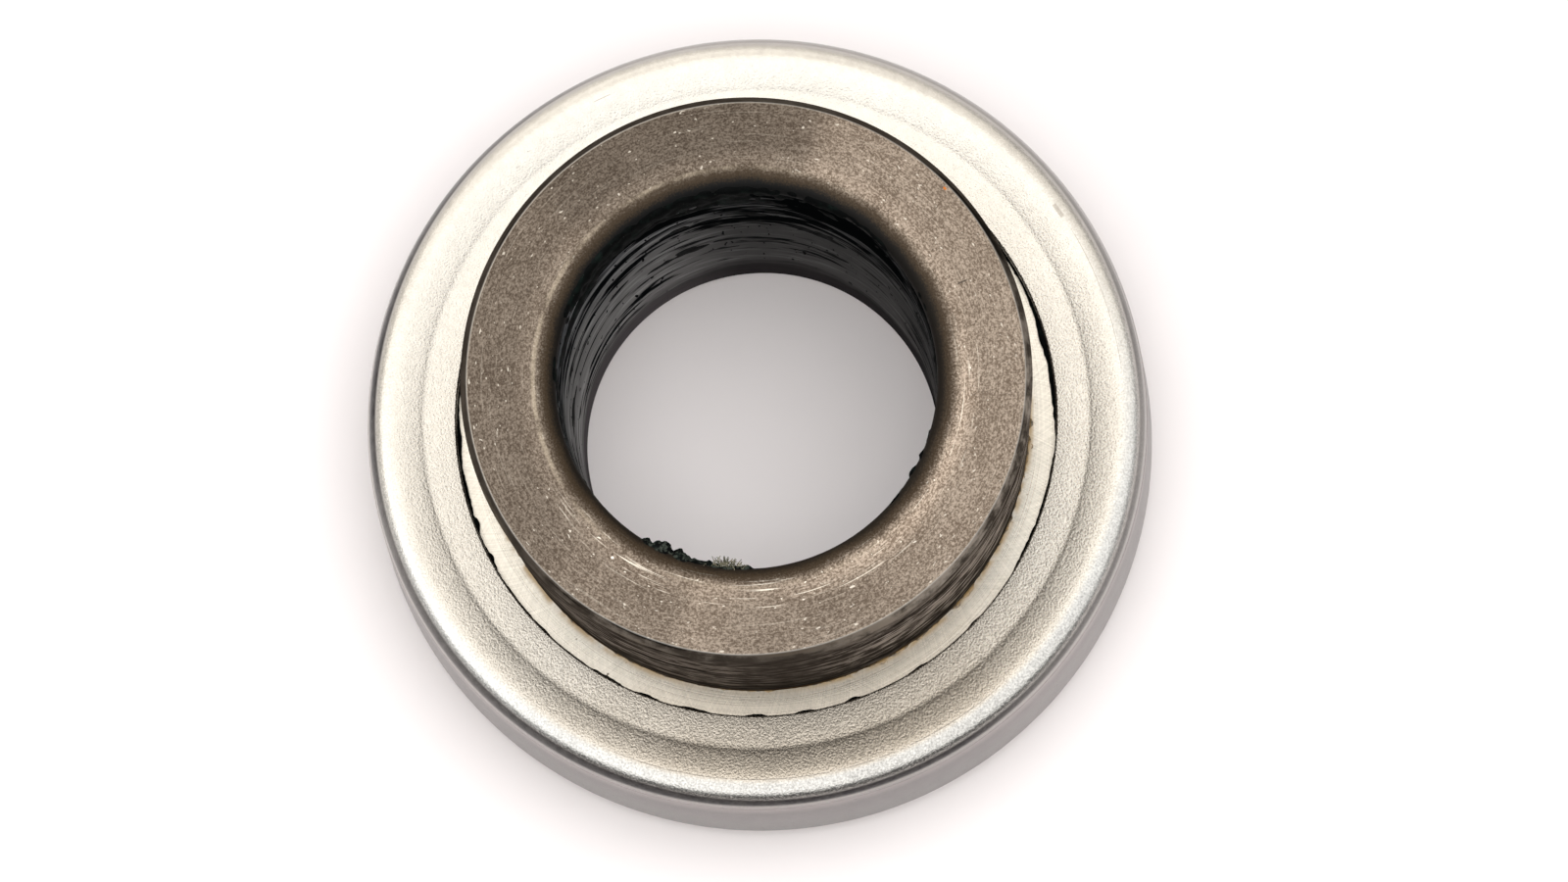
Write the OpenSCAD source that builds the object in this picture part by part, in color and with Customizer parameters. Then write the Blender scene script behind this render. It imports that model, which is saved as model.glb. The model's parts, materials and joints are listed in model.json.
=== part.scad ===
// Clutch release bearing: a sleeve that slides on the gearbox quill and carries an
// angular-contact ball bearing in a drawn steel shell. The thrust face lies on z = 0, +Z runs
// along the bore to the hub's rear face, and the bore's axis is the Z axis. Millimetres.

/* [Hub sleeve] */
// Diameter of the bore that slides on the quill
bore_d = 35; // [30:0.5:42]
// Wall of the spigot that carries the inner race
spigot_wall = 4.5; // [3.5:0.1:5.5]
// Wall of the hub behind the inner race
hub_wall = 8.7; // [7.5:0.1:11]
// Height of the hub's rear face above the inner race's face
hub_rise = 25.4; // [12:0.2:40]
// Depth of the hub's front end behind the thrust face
front_recess = 0.9; // [0.5:0.1:1.4]
// Rounding of the bore's rear mouth
mouth_round = 1.85; // [0.5:0.05:3]
// Radial width of the rear rim's chamfer
rim_chamfer_w = 0.65; // [0.3:0.05:1.5]
// Height of the rear rim's chamfer
rim_chamfer_h = 0.75; // [0.3:0.05:1.5]
// Chamfers at the spigot's front end
spigot_chamfer = 0.4; // [0.2:0.05:0.8]

/* [Cover shell] */
// Thickness of the shell's sheet
sheet_t = 1.2; // [0.8:0.1:1.6]
// Width of the inner race's face that shows between the hub and the shell's lip
land_w = 2.65; // [2:0.05:4]
// Clearance between the inner race's face and the shell's lip
lip_gap = 1.05; // [0.5:0.05:2]
// Rounding of the lip's upper edge
lip_round = 0.35; // [0.2:0.05:1.1]
// Width of the crowned band between the lip and the crease
inner_band_w = 3.3; // [2.5:0.1:5]
// Radius of the inner band's crown
inner_crown = 17; // [12:0.5:30]
// Width of the crowned band between the crease and the shoulder
outer_band_w = 2.6; // [2:0.1:5]
// Radius of the outer band's crown
outer_crown = 24; // [16:0.5:40]
// Distance of the outer band's crest from the crease
outer_crest_w = 1.1; // [0.5:0.05:1.2]
// Radius of the shell's shoulder
shoulder_round = 2.8; // [2:0.1:4]
// Draft of the skirt's wall, in degrees
skirt_draft = 3.9; // [0:0.1:5]
// Height of the skirt's foot above the thrust face
skirt_foot = 3.3; // [2.8:0.1:3.8]
// Width of the foot that is crimped under the outer race
crimp_w = 1; // [0.6:0.1:1.5]
// Rounding of the foot's outer edge
foot_round = 0.9; // [0.3:0.1:1.1]

/* [Ball bearing] */
// Diameter of a ball
ball_d = 7.94; // [6:0.02:9]
// Number of balls in the ring
ball_count = 20; // [10:1:20]
// Running gap between the balls and the metal around them
run_gap = 0.1; // [0.06:0.01:0.2]
// Depth of the low shoulder on the open side of each groove
low_shoulder = 0.3; // [0.1:0.05:0.6]
// Metal of the outer race below the balls
thrust_web = 5; // [4.8:0.1:7]
// Metal of the outer race outside the balls
outer_wall = 2.1; // [1.5:0.1:3]
// Height of the outer race's wall above the balls
wall_rise = 2.4; // [1.8:0.1:3]
// Ledge between the crimped foot and the thrust nose
nose_ledge = 1.8; // [1:0.1:2.5]
// Rounding of the thrust face's outer edge
nose_round = 0.8; // [0.3:0.1:1.5]
// Metal of the inner race above the balls
flange_t = 4.9; // [4.2:0.1:7]
// Distance of the inner race's flange inside the pitch circle
flange_inset = 0.9; // [0.6:0.1:1.5]
// Room between the front end of the inner race and the outer race's floor
end_gap = 0.9; // [0.5:0.1:1.5]
// Chamfers on the races' edges
race_chamfer = 0.5; // [0.2:0.1:0.8]

/* [Ball cage] */
// Room between the cage and the races
cage_gap = 0.6; // [0.4:0.05:0.8]
// Thickness of the cage's ring above the balls
cage_web = 1.5; // [1:0.1:2]
// Reach of the cage's fingers below the balls' centres
cage_grip = 1.6; // [1:0.1:2.2]

/* [Front shield] */
// Thickness of the shield's sheet
shield_t = 0.9; // [0.6:0.1:1.2]
// Running gap between the shield and the spigot
shield_gap = 0.4; // [0.3:0.05:0.8]
// Radial width of the shield
shield_w = 4.6; // [3.5:0.1:5]
// Height of the shield's turned-up collar
shield_collar = 2.6; // [1.8:0.1:3]
// Inner radius of the collar's bend
shield_bend = 0.3; // [0.1:0.05:0.6]
// Depth of the shield's seat behind the thrust face
seat_depth = 2.4; // [2:0.1:3]
// Width of the ledge that the shield seats on
seat_ledge = 1.6; // [1:0.1:2.2]

/* [Hidden] */
$fn = 128;
// Facets of a full crown circle, of which each band shows a short arc
crown_facets = 512;

bore_r = bore_d / 2;
spigot_r = bore_r + spigot_wall;
hub_r = bore_r + hub_wall;

ball_r = ball_d / 2;
groove_r = ball_r + run_gap;
ball_z = thrust_web + groove_r;
race_face_z = ball_z + groove_r + flange_t;
hub_top_z = race_face_z + hub_rise;

lip_r = hub_r + land_w;
crease_r = lip_r + inner_band_w;
shoulder_r = crease_r + outer_band_w;
lip_under_z = race_face_z + lip_gap;
crease_z = lip_under_z + sheet_t;
shoulder_z = crease_z - shoulder_round;
// Crowns of the two bands: they meet at the crease, and the inner one rises to the lip's rounding
inner_crest_r = lip_r + lip_round;
outer_crest_r = crease_r + outer_crest_w;
inner_crest_z = crease_z + crown_drop(inner_crown, crease_r - inner_crest_r);
outer_crest_z = crease_z + crown_drop(outer_crown, outer_crest_w);

// Fall of a crown of radius r at a distance d from its crest
function crown_drop(r, d) = r - sqrt(r * r - d * d);

// Outer and inner surface of the skirt's wall at height z
function skirt_r(z) = shoulder_r + shoulder_round / cos(skirt_draft) + (shoulder_z - z) * tan(skirt_draft);
function seat_r(z) = skirt_r(z) - sheet_t / cos(skirt_draft);

crimp_top_z = skirt_foot + sheet_t;
crimp_r = seat_r(crimp_top_z) - crimp_w;
nose_r = crimp_r - nose_ledge;
pitch_r = seat_r(ball_z) - outer_wall - groove_r;
outer_top_z = ball_z + groove_r + wall_rise;
outer_bore_r = pitch_r + groove_r - low_shoulder;
floor_z = thrust_web + low_shoulder;
inner_low_r = pitch_r - groove_r + low_shoulder;
inner_front_z = floor_z + end_gap;
flange_r = pitch_r - flange_inset;

shield_in_r = spigot_r + shield_gap;
shield_out_r = shield_in_r + shield_w;
front_bore_r = shield_out_r - seat_ledge;
shield_front_z = seat_depth - shield_t;

ball_step = 360 / ball_count;

function ball_name(i) = str("ball_", i < 9 ? "0" : "", i + 1);

// Corner between two edges that leave point p along the angles a and b, less its rounding of
// radius r: taken from a profile it rounds an outer corner, added to one it fills an inner corner
module corner(p, a, b, r) {
    half = (b - a) / 2;
    mid = a + half;
    reach = r / tan(abs(half));
    centre = p + r / sin(abs(half)) * [cos(mid), sin(mid)];
    kite = [p, p + reach * [cos(a), sin(a)], centre, p + reach * [cos(b), sin(b)]];
    difference() {
        // Twice the kite, so that the piece runs past both edges
        polygon([for (q = kite) 2 * q - centre]);
        translate(centre) circle(r);
    }
}

// What a crowned band from radius r0 to r1 loses above its crown
module above_crown(r0, r1, crest_r, crest_z, crown) {
    difference() {
        translate([r0, crest_z - sheet_t / 2]) square([r1 - r0, sheet_t]);
        translate([crest_r, crest_z - crown]) circle(crown, $fn = crown_facets);
    }
}

// Filled outline of a drawn cup: a drafted wall from its foot, a rounded shoulder and a flat top
module cup(foot_r, foot_z, round, top_z) {
    centre = [shoulder_r, shoulder_z];
    tangent = centre + round * [cos(skirt_draft), sin(skirt_draft)];
    polygon([
        [0, foot_z],
        [foot_r, foot_z],
        tangent,
        centre,
        [shoulder_r, top_z],
        [0, top_z]
    ]);
    translate(centre) circle(round);
}

module hub_profile() {
    difference() {
        polygon([
            [bore_r + spigot_chamfer, front_recess],
            [spigot_r - spigot_chamfer, front_recess],
            [spigot_r, front_recess + spigot_chamfer],
            [spigot_r, race_face_z],
            [hub_r, race_face_z],
            [hub_r, hub_top_z - rim_chamfer_h],
            [hub_r - rim_chamfer_w, hub_top_z],
            [bore_r, hub_top_z],
            [bore_r, front_recess + spigot_chamfer]
        ]);
        corner([bore_r, hub_top_z], 0, -90, mouth_round);
    }
}

module inner_race_profile() {
    difference() {
        polygon([
            [spigot_r, inner_front_z],
            [inner_low_r - race_chamfer, inner_front_z],
            [inner_low_r, inner_front_z + race_chamfer],
            [inner_low_r, ball_z],
            [flange_r, ball_z],
            [flange_r, race_face_z - race_chamfer],
            [flange_r - race_chamfer, race_face_z],
            [spigot_r, race_face_z]
        ]);
        translate([pitch_r, ball_z]) circle(groove_r);
    }
}

module outer_race_profile() {
    difference() {
        polygon([
            [shield_out_r + race_chamfer, 0],
            [nose_r, 0],
            [nose_r, crimp_top_z],
            [seat_r(crimp_top_z), crimp_top_z],
            [seat_r(outer_top_z), outer_top_z],
            [outer_bore_r, outer_top_z],
            [outer_bore_r, ball_z],
            [pitch_r, ball_z],
            [pitch_r, floor_z],
            [front_bore_r, floor_z],
            [front_bore_r, seat_depth],
            [shield_out_r, seat_depth],
            [shield_out_r, race_chamfer]
        ]);
        translate([pitch_r, ball_z]) circle(groove_r);
        corner([nose_r, 0], 90, 180, nose_round);
    }
}

module cover_shell_profile() {
    difference() {
        cup(skirt_r(skirt_foot), skirt_foot, shoulder_round, inner_crest_z);
        cup(seat_r(crimp_top_z), crimp_top_z, shoulder_round - sheet_t, lip_under_z);
        square([crimp_r, ball_z]);
        square([lip_r, hub_top_z]);
        above_crown(inner_crest_r, crease_r, inner_crest_r, inner_crest_z, inner_crown);
        above_crown(crease_r, shoulder_r + shoulder_round, outer_crest_r, outer_crest_z, outer_crown);
        corner([lip_r, inner_crest_z], 0, -90, lip_round);
        corner([skirt_r(skirt_foot), skirt_foot], 90 + skirt_draft, 180, foot_round);
    }
}

module front_shield_profile() {
    difference() {
        union() {
            translate([shield_in_r, shield_front_z]) square([shield_w, shield_t]);
            translate([shield_in_r, shield_front_z]) square([shield_t, shield_collar]);
            corner([shield_in_r + shield_t, seat_depth], 0, 90, shield_bend);
        }
        corner([shield_in_r, shield_front_z], 0, 90, shield_bend + shield_t);
    }
}

// Places a ball-sized thing at its station on the pitch circle
module at_ball(i) {
    rotate([0, 0, i * ball_step]) translate([pitch_r, 0, ball_z]) children();
}

module hub_sleeve() {
    color("#6b6259") rotate_extrude() hub_profile();
}

module inner_race() {
    color("#d9d2c3") rotate_extrude() inner_race_profile();
}

module outer_race() {
    color("#a9a3a0") rotate_extrude() outer_race_profile();
}

module cover_shell() {
    color("#c8c2b6") rotate_extrude() cover_shell_profile();
}

module ball_cage() {
    in_r = flange_r + cage_gap;
    out_r = outer_bore_r - cage_gap;
    low_z = ball_z - cage_grip;
    top_z = ball_z + groove_r + cage_web;
    color("#4a3524") difference() {
        rotate_extrude() translate([in_r, low_z]) square([out_r - in_r, top_z - low_z]);
        for (i = [0 : ball_count - 1]) at_ball(i) sphere(groove_r);
    }
}

module front_shield() {
    color("#98948b") rotate_extrude() front_shield_profile();
}

module ball(i) {
    color("#d5d9dc") at_ball(i) sphere(ball_r);
}

hub_sleeve();
inner_race();
outer_race();
cover_shell();
ball_cage();
front_shield();
for (i = [0 : ball_count - 1]) ball(i);
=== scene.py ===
import json
import math
import random

import bpy
from bpy.props import FloatProperty, FloatVectorProperty, IntProperty, PointerProperty
from mathutils import Matrix, Vector, noise


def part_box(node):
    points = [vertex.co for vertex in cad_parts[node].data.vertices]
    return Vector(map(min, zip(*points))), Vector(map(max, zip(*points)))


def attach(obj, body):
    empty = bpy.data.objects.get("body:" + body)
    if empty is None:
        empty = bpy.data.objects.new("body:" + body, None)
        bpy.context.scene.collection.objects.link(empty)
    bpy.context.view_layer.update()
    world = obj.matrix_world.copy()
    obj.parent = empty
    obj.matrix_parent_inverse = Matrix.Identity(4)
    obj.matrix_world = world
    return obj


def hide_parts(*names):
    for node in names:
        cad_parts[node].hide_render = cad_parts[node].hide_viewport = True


bl_info = {
    "name": "Clutch Release Bearing",
    "version": (1, 0, 0),
    "blender": (4, 5, 0),
    "location": "View3D > Sidebar > Bearing",
    "description": "Dresses the clutch release bearing: turned and drawn steel, grease and dirt",
    "category": "Object",
}

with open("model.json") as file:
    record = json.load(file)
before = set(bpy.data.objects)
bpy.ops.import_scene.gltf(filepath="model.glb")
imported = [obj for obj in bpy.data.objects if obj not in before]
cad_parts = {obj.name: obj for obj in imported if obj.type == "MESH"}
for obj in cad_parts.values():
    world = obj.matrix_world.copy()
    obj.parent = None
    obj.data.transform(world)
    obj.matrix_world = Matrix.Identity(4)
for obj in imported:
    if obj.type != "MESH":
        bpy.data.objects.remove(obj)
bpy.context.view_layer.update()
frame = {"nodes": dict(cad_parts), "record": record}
MOUNTS = {mount["name"]: mount for mount in frame["record"]["mounts"]}
BALLS = sorted(name for name in frame["nodes"] if name.startswith("ball_") and name != "ball_cage")
MM = 0.001
# Steps of a full turn, and the angle up to which neighbouring faces shade as one
TURNS = 288
SOFT_ANGLE = math.radians(28)
# Grease lumps at the mouth: azimuth and half width in degrees, depth below the face and reach in metres,
# thickness in mm
LUMPS = (
    (231.5, 2.8, 0.0015, 0.0013, 0.80), (237.5, 2.8, 0.0015, 0.0013, 0.70),
    (227.0, 2.5, 0.0016, 0.0011, 0.35), (243.5, 3.5, 0.0018, 0.0011, 0.40),
    (252.0, 7.0, 0.0018, 0.0011, 0.30), (318.0, 1.8, 0.0020, 0.0010, 0.22),
    (324.0, 1.6, 0.0020, 0.0010, 0.26), (330.0, 2.2, 0.0020, 0.0010, 0.18),
    (339.0, 1.8, 0.0022, 0.0010, 0.24), (346.0, 2.4, 0.0022, 0.0010, 0.20),
    (353.0, 2.0, 0.0022, 0.0010, 0.22),
)
# Grease lumps in the gap: azimuth and half width in degrees, depth in mm
GAP_LUMPS = (
    (188, 1.6, 0.30), (195, 0.8, 0.20), (172, 5, 0.10), (205, 4, 0.12), (228, 4, 0.30), (236, 3, 0.25),
    (290, 4, 0.36), (302, 6, 0.30), (326, 16, 0.34), (358, 14, 0.36), (180, 6, 0.18),
    (245.5, 4.5, 0.32), (257.5, 3.4, 0.52), (267, 3.4, 0.46), (276.5, 3.4, 0.47),
)
# Slope of the shell's top from the lip to the crest: radius in mm, fall in degrees outwards
SLOPES = (
    (28.94, -4.0), (29.60, -3.5), (30.70, -3.9), (31.50, -4.8), (31.75, -5.6),
    (31.95, -8.4), (32.10, -10.4), (32.28, -10.0), (32.70, -9.2), (33.70, -8.7),
    (34.20, -8.1), (34.60, -6.9), (34.90, -4.2), (35.15, -0.5),
)
# Step along the slope, in mm
STRIDE = 0.02
# Amber curls: azimuth in degrees, radius, sweep in degrees, ring radius and thickness in mm
CURLS = (
    (341.6, 26.45, 250, 0.22, 0.06), (335.0, 26.55, 200, 0.20, 0.07), (324.5, 26.50, 160, 0.30, 0.07),
    (346.0, 26.60, 90, 0.25, 0.05), (312.0, 26.60, 110, 0.22, 0.05),
)
# Section of the grime at the hub's foot: mm out from the hub's side and up from the race's face
GRIME = (
    (-0.15, -0.1), (-0.15, 0.35), (0.01, 0.30), (0.06, 0.12), (0.14, 0.06), (0.30, 0.01), (0.30, -0.1)
)
# Studio lamps: name, place and diameter in metres, power in watts
LAMPS = (("key", (-0.1, -0.15, 1.2), 1.6, 16.7), ("fill", (0.35, 0.15, 1.4), 1.5, 11.9))


def size(name, description, default):
    """A length in metres, for a property group."""
    return FloatProperty(name=name, description=description, default=default, unit="LENGTH", precision=5)


def tint(name, description, default):
    """A linear colour, for a property group."""
    return FloatVectorProperty(
        name=name, description=description, default=default, size=3, min=0, max=1, subtype="COLOR"
    )


class HubProps(bpy.types.PropertyGroup):
    """Sizes and colours of the hub sleeve."""

    bore: size("Bore radius", "Radius of the bore", MOUNTS["sleeve_bore"]["dims"]["r_mm"] * MM)
    radius: size("Hub radius", "Radius of the hub behind the race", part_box("hub_sleeve")[1].x)
    top: size("Rear face", "Height of the hub's rear face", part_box("hub_sleeve")[1].z)
    front: size("Front end", "Height of the hub's front end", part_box("hub_sleeve")[0].z)
    spigot: size("Spigot radius", "Radius of the spigot under the inner race", 0.022)
    mouth: size("Mouth rounding", "Rounding of the bore's rear mouth", 0.00185)
    rim_width: size("Rim chamfer width", "Radial width of the rear rim's chamfer", 0.00065)
    rim_height: size("Rim chamfer height", "Height of the rear rim's chamfer", 0.00075)
    edge: size("Edge rounding", "Broken edges at the rear rim", 0.00012)
    end: size("End chamfer", "Chamfers at the spigot's front end", 0.0004)
    face_dark: tint("Face, dark", "Brown tone of the rear face", (0.0525, 0.0392, 0.0292))
    face_pale: tint("Face, pale", "Paler grey tone of the rear face", (0.155, 0.127, 0.1025))
    side: tint("Side", "Black tone of the hub's side", (0.040, 0.032, 0.025))
    wall: tint("Bore wall", "Grey tone of the bore's wall", (0.21, 0.204, 0.200))


class RaceProps(bpy.types.PropertyGroup):
    """Sizes and colours of the races, the shield, the cage and the balls."""

    face: size("Race face", "Height of the inner race's ground face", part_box("inner_race")[1].z)
    flange: size("Flange radius", "Radius of the inner race's flange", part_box("inner_race")[1].x)
    front: size("Race front", "Height of the inner race's front end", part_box("inner_race")[0].z)
    chamfer: size("Race chamfer", "Chamfers on the races' edges", 0.0005)
    ball: size("Ball radius", "Radius of a ball", 0.00397)
    gap: size("Running gap", "Gap between the balls and the races", 0.0001)
    low_side: size("Low shoulder", "Depth of the low shoulder of each groove", 0.0003)
    pitch: size("Pitch radius", "Radius of the circle of ball centres", 0.0307577)
    height: size("Ball height", "Height of the ball centres", 0.00907)
    outer_top: size("Outer race top", "Height of the outer race's rear end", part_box("outer_race")[1].z)
    nose_ledge: size("Nose ledge", "Ledge between the crimped foot and the thrust nose", 0.0018)
    nose_round: size("Nose rounding", "Rounding of the thrust face's outer edge", 0.0008)
    seat: size("Shield seat", "Depth of the shield's seat", 0.0024)
    ledge: size("Shield ledge", "Width of the ledge that the shield seats on", 0.0016)
    shield_in: size("Shield bore", "Inner radius of the front shield", 0.0224)
    shield_out: size("Shield edge", "Outer radius of the front shield", 0.027)
    shield_sheet: size("Shield sheet", "Thickness of the shield's sheet", 0.0009)
    shield_collar: size("Shield collar", "Height of the shield's collar", 0.0026)
    shield_bend: size("Shield bend", "Inner radius of the collar's bend", 0.0003)
    ground: tint("Ground steel", "Colour of the ground races", (0.545, 0.510, 0.452))
    # Painted shade: the races' darker, warmer colour on the near side.
    near_shade: tint("Oiled steel", "Colour of the ground races under a film of oil", (0.53, 0.474, 0.398))
    stain: tint("Amber stain", "Colour of the varnish stains", (0.30, 0.19, 0.07))
    sheet: tint("Shield steel", "Colour of the pressed shield", (0.34, 0.325, 0.30))
    polish: tint("Ball steel", "Colour of the polished balls", (0.62, 0.63, 0.65))
    nylon: tint("Cage nylon", "Colour of the moulded cage", (0.045, 0.022, 0.010))


class ShellProps(bpy.types.PropertyGroup):
    """Sizes and colours of the drawn shell."""

    sheet: size("Sheet", "Thickness of the shell's sheet", 0.0012)
    lip: size("Lip radius", "Radius of the lip's edge", 0.02878)
    under: size("Lip height", "Height of the lip's underside", 0.01909)
    lip_round: size("Lip rounding", "Rounding of the lip's upper edge", 0.00016)
    crease: size("Crease radius", "Radius of the crease between the bands", 0.03215)
    shoulder: size("Shoulder start", "Radius where the shoulder starts", 0.03475)
    round: size("Shoulder rounding", "Radius of the shoulder", 0.0028)
    draft: FloatProperty(
        name="Draft", description="Draft of the skirt's wall", default=math.radians(3.9), subtype="ANGLE"
    )
    step: size("Ironed step", "Step where the ironed skirt starts", 0.00006)
    foot: size("Foot", "Height of the skirt's foot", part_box("cover_shell")[0].z)
    foot_round: size("Foot rounding", "Rounding of the foot's outer edge", 0.0009)
    crimp: size("Crimp", "Width of the foot that is crimped under the race", 0.001)
    plate: tint("Plating", "Colour of the plated sheet", (0.485, 0.457, 0.416))
    # Painted shade: the plated sheet's darker, warmer colour on the near side.
    near_shade: tint("Oiled plating", "Colour of the plated sheet under a film of oil", (0.43, 0.388, 0.335))
    # The skirt's dark colour is partly its duller ironed finish and partly painted shade.
    ironed: tint("Ironed skirt", "Colour of the ironed skirt", (0.122, 0.108, 0.104))


class DirtProps(bpy.types.PropertyGroup):
    """Sizes of the grease and lint."""

    bore_start: size("Bore grease start", "Height of its start over the hub's front end", 0.007)
    row: size("Grease rows", "Distance between the rows of the bore grease's mesh", 0.00035)
    fibre: size("Fibre", "Radius of a lint fibre", 0.000034)
    fibres: IntProperty(name="Fibres", description="Number of lint fibres", default=110, min=0)


class StageProps(bpy.types.PropertyGroup):
    """Camera, light and floor."""

    eye: FloatVectorProperty(
        name="Camera place", description="Place of the camera", default=(0.0021354, -0.0797445, 0.5050579),
        size=3, subtype="XYZ", unit="LENGTH", precision=5,
    )
    tilt: FloatProperty(
        name="Tilt", description="Tilt of the view off the bore's axis", default=math.radians(9),
        subtype="ANGLE",
    )
    roll: FloatProperty(
        name="Roll", description="Turn of the camera about its view", default=math.radians(12.67),
        subtype="ANGLE",
    )
    lens: FloatProperty(
        name="Lens", description="Focal length on a 36 mm sensor", default=117.8, unit="CAMERA"
    )
    floor: tint("Floor", "Colour of the table", (0.94, 0.888, 0.876))
    tent: FloatProperty(name="Tent", description="Brightness of the light tent", default=2.5)


class BearingProps(bpy.types.PropertyGroup):
    """All settings of the release bearing."""

    hub: PointerProperty(type=HubProps)
    race: PointerProperty(type=RaceProps)
    shell: PointerProperty(type=ShellProps)
    dirt: PointerProperty(type=DirtProps)
    stage: PointerProperty(type=StageProps)


# Shader expressions


class Wire:
    """A shader socket that takes part in Python expressions."""

    def __init__(self, finish, socket):
        self.finish = finish
        self.socket = socket

    def math(self, operation, first, second=None):
        values = {0: first} if second is None else {0: first, 1: second}
        return self.finish.node("ShaderNodeMath", {"operation": operation}, values)

    def __add__(self, other):
        return self.math("ADD", self, other)

    def __radd__(self, other):
        return self.math("ADD", other, self)

    def __sub__(self, other):
        return self.math("SUBTRACT", self, other)

    def __rsub__(self, other):
        return self.math("SUBTRACT", other, self)

    def __mul__(self, other):
        return self.math("MULTIPLY", self, other)

    def __truediv__(self, other):
        return self.math("DIVIDE", self, other)

    def __pow__(self, other):
        return self.math("POWER", self, other)

    def __or__(self, other):
        return self.math("MAXIMUM", self, other)


class Nodes:
    """The node tree of a material or a world."""

    def __init__(self, owner):
        owner.use_nodes = True
        self.tree = owner.node_tree
        self.tree.nodes.clear()

    def node(self, kind, settings=None, values=None, output=0):
        """Adds a node, sets it up, feeds its sockets and gives one of its outputs."""
        made = self.tree.nodes.new(kind)
        for name, value in (settings or {}).items():
            setattr(made, name, value)
        for socket, value in (values or {}).items():
            target = made.inputs[socket]
            if isinstance(value, Wire):
                self.tree.links.new(value.socket, target)
            else:
                target.default_value = (*value, 1) if target.type == "RGBA" else value
        return Wire(self, made.outputs[output]) if made.outputs else None

    def noise(self, where, scale, detail=2.0, rough=0.5, seed=0.0):
        settings = {"noise_dimensions": "4D"}
        values = {"Vector": where, "W": seed, "Scale": scale, "Detail": detail, "Roughness": rough}
        return self.node("ShaderNodeTexNoise", settings, values)

    def step(self, value, low, high):
        """0 below low, 1 above high and smooth between; low may lie above high."""
        settings = {"interpolation_type": "SMOOTHSTEP"}
        if low < high:
            return self.node("ShaderNodeMapRange", settings, {0: value, 1: low, 2: high, 3: 0, 4: 1})
        return self.node("ShaderNodeMapRange", settings, {0: value, 1: high, 2: low, 3: 1, 4: 0})

    def band(self, value, low, high, soft):
        """1 between low and high, with soft ends."""
        return self.step(value, low - soft, low + soft) * self.step(value, high + soft, high - soft)

    def mix(self, factor, first, second):
        settings = {"data_type": "RGBA", "clamp_factor": True}
        return self.node("ShaderNodeMix", settings, {0: factor, 6: first, 7: second}, 2)

    def dot(self, first, second):
        settings = {"operation": "DOT_PRODUCT"}
        return self.node("ShaderNodeVectorMath", settings, {0: first, 1: second}, "Value")

    def scale(self, colour, factor):
        """A colour made darker or lighter by a factor."""
        return self.node("ShaderNodeVectorMath", {"operation": "SCALE"}, {0: colour, 3: factor})


class Finish(Nodes):
    """A procedural material, with the part's cylinder coordinates at hand."""

    def __init__(self, name):
        self.material = bpy.data.materials.new(name)
        super().__init__(self.material)
        self.place = self.node("ShaderNodeTexCoord", output="Object")
        self.x, self.y, self.z = (
            self.node("ShaderNodeSeparateXYZ", values={0: self.place}, output=k) for k in range(3)
        )
        self.r = (self.x * self.x + self.y * self.y) ** 0.5
        self.cos = self.x / self.r
        self.sin = self.y / self.r

    def arcs(self, length, width=0.0, height=0.0):
        """Coordinates that stretch a noise along circles: length in radians, width or height in metres."""
        across = self.z / height if height else self.r / width
        return self.node(
            "ShaderNodeCombineXYZ", values={0: self.cos / length, 1: self.sin / length, 2: across}
        )

    def sector(self, azimuth, half, soft):
        """1 within half degrees of an azimuth, 0 beyond soft degrees more."""
        a = math.radians(azimuth)
        facing = self.cos * math.cos(a) + self.sin * math.sin(a)
        return self.step(facing, math.cos(math.radians(half + soft)), math.cos(math.radians(half)))

    def mark(self, azimuth, half, low, high):
        """A small mark: 1 within half degrees of an azimuth and between two radii."""
        return self.sector(azimuth, half, half * 0.4) * self.band(self.r, low, high, (high - low) * 0.2)

    def oblique(self, twist, length, width):
        """Coordinates that stretch a noise along spirals; twist is in radians per metre of radius."""
        turn_by = self.r * twist
        c, s = turn_by.math("COSINE", turn_by), turn_by.math("SINE", turn_by)
        across, along = self.cos * c - self.sin * s, self.sin * c + self.cos * s
        return self.node(
            "ShaderNodeCombineXYZ", values={0: across / length, 1: along / length, 2: self.r / width}
        )

    def lay(self, mask, colour):
        """Lays a colour over the finish so far, where the mask lets it show."""
        self.colour = self.mix(mask, self.colour, colour)

    def shade(self, factor):
        """Makes the finish so far darker or lighter."""
        self.colour = self.scale(self.colour, factor)

    def bump(self, height, distance, strength=1.0):
        values = {"Strength": strength, "Distance": distance, "Height": height}
        return self.node("ShaderNodeBump", values=values)

    def surface(self, inputs):
        """The shader with the colour laid so far: a Wire is linked, a number is set on the socket."""
        shader = self.node("ShaderNodeBsdfPrincipled", values={"Base Color": self.colour, **inputs})
        self.node("ShaderNodeOutputMaterial", values={0: shader})
        return self.material


# Modelling


def corner(before, point, after, radius, count=6):
    """Points of the rounding of a corner between two straight edges."""
    p = Vector(point)
    a = (Vector(before) - p).normalized()
    b = (Vector(after) - p).normalized()
    half = a.angle(b) / 2
    centre = p + (a + b).normalized() * (radius / math.sin(half))
    start = p + a * (radius / math.tan(half)) - centre
    end = p + b * (radius / math.tan(half)) - centre
    sweep = start.angle_signed(end)
    return [tuple(centre + Matrix.Rotation(-sweep * k / count, 2) @ start) for k in range(count + 1)]


def arc(centre, radius, start, end, count):
    """Points of an arc between two angles in degrees."""
    angles = (math.radians(start + (end - start) * k / count) for k in range(count + 1))
    return [(centre[0] + radius * math.cos(a), centre[1] + radius * math.sin(a)) for a in angles]


def blank(name):
    """A new mesh object of one point at the origin, left in edit mode."""
    bpy.ops.object.select_all(action="DESELECT")
    bpy.ops.mesh.primitive_plane_add(size=MM)
    piece = bpy.context.active_object
    piece.name = piece.data.name = name
    bpy.ops.object.mode_set(mode="EDIT")
    bpy.ops.mesh.select_all(action="SELECT")
    bpy.ops.mesh.merge(type="CENTER")
    return piece


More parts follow.
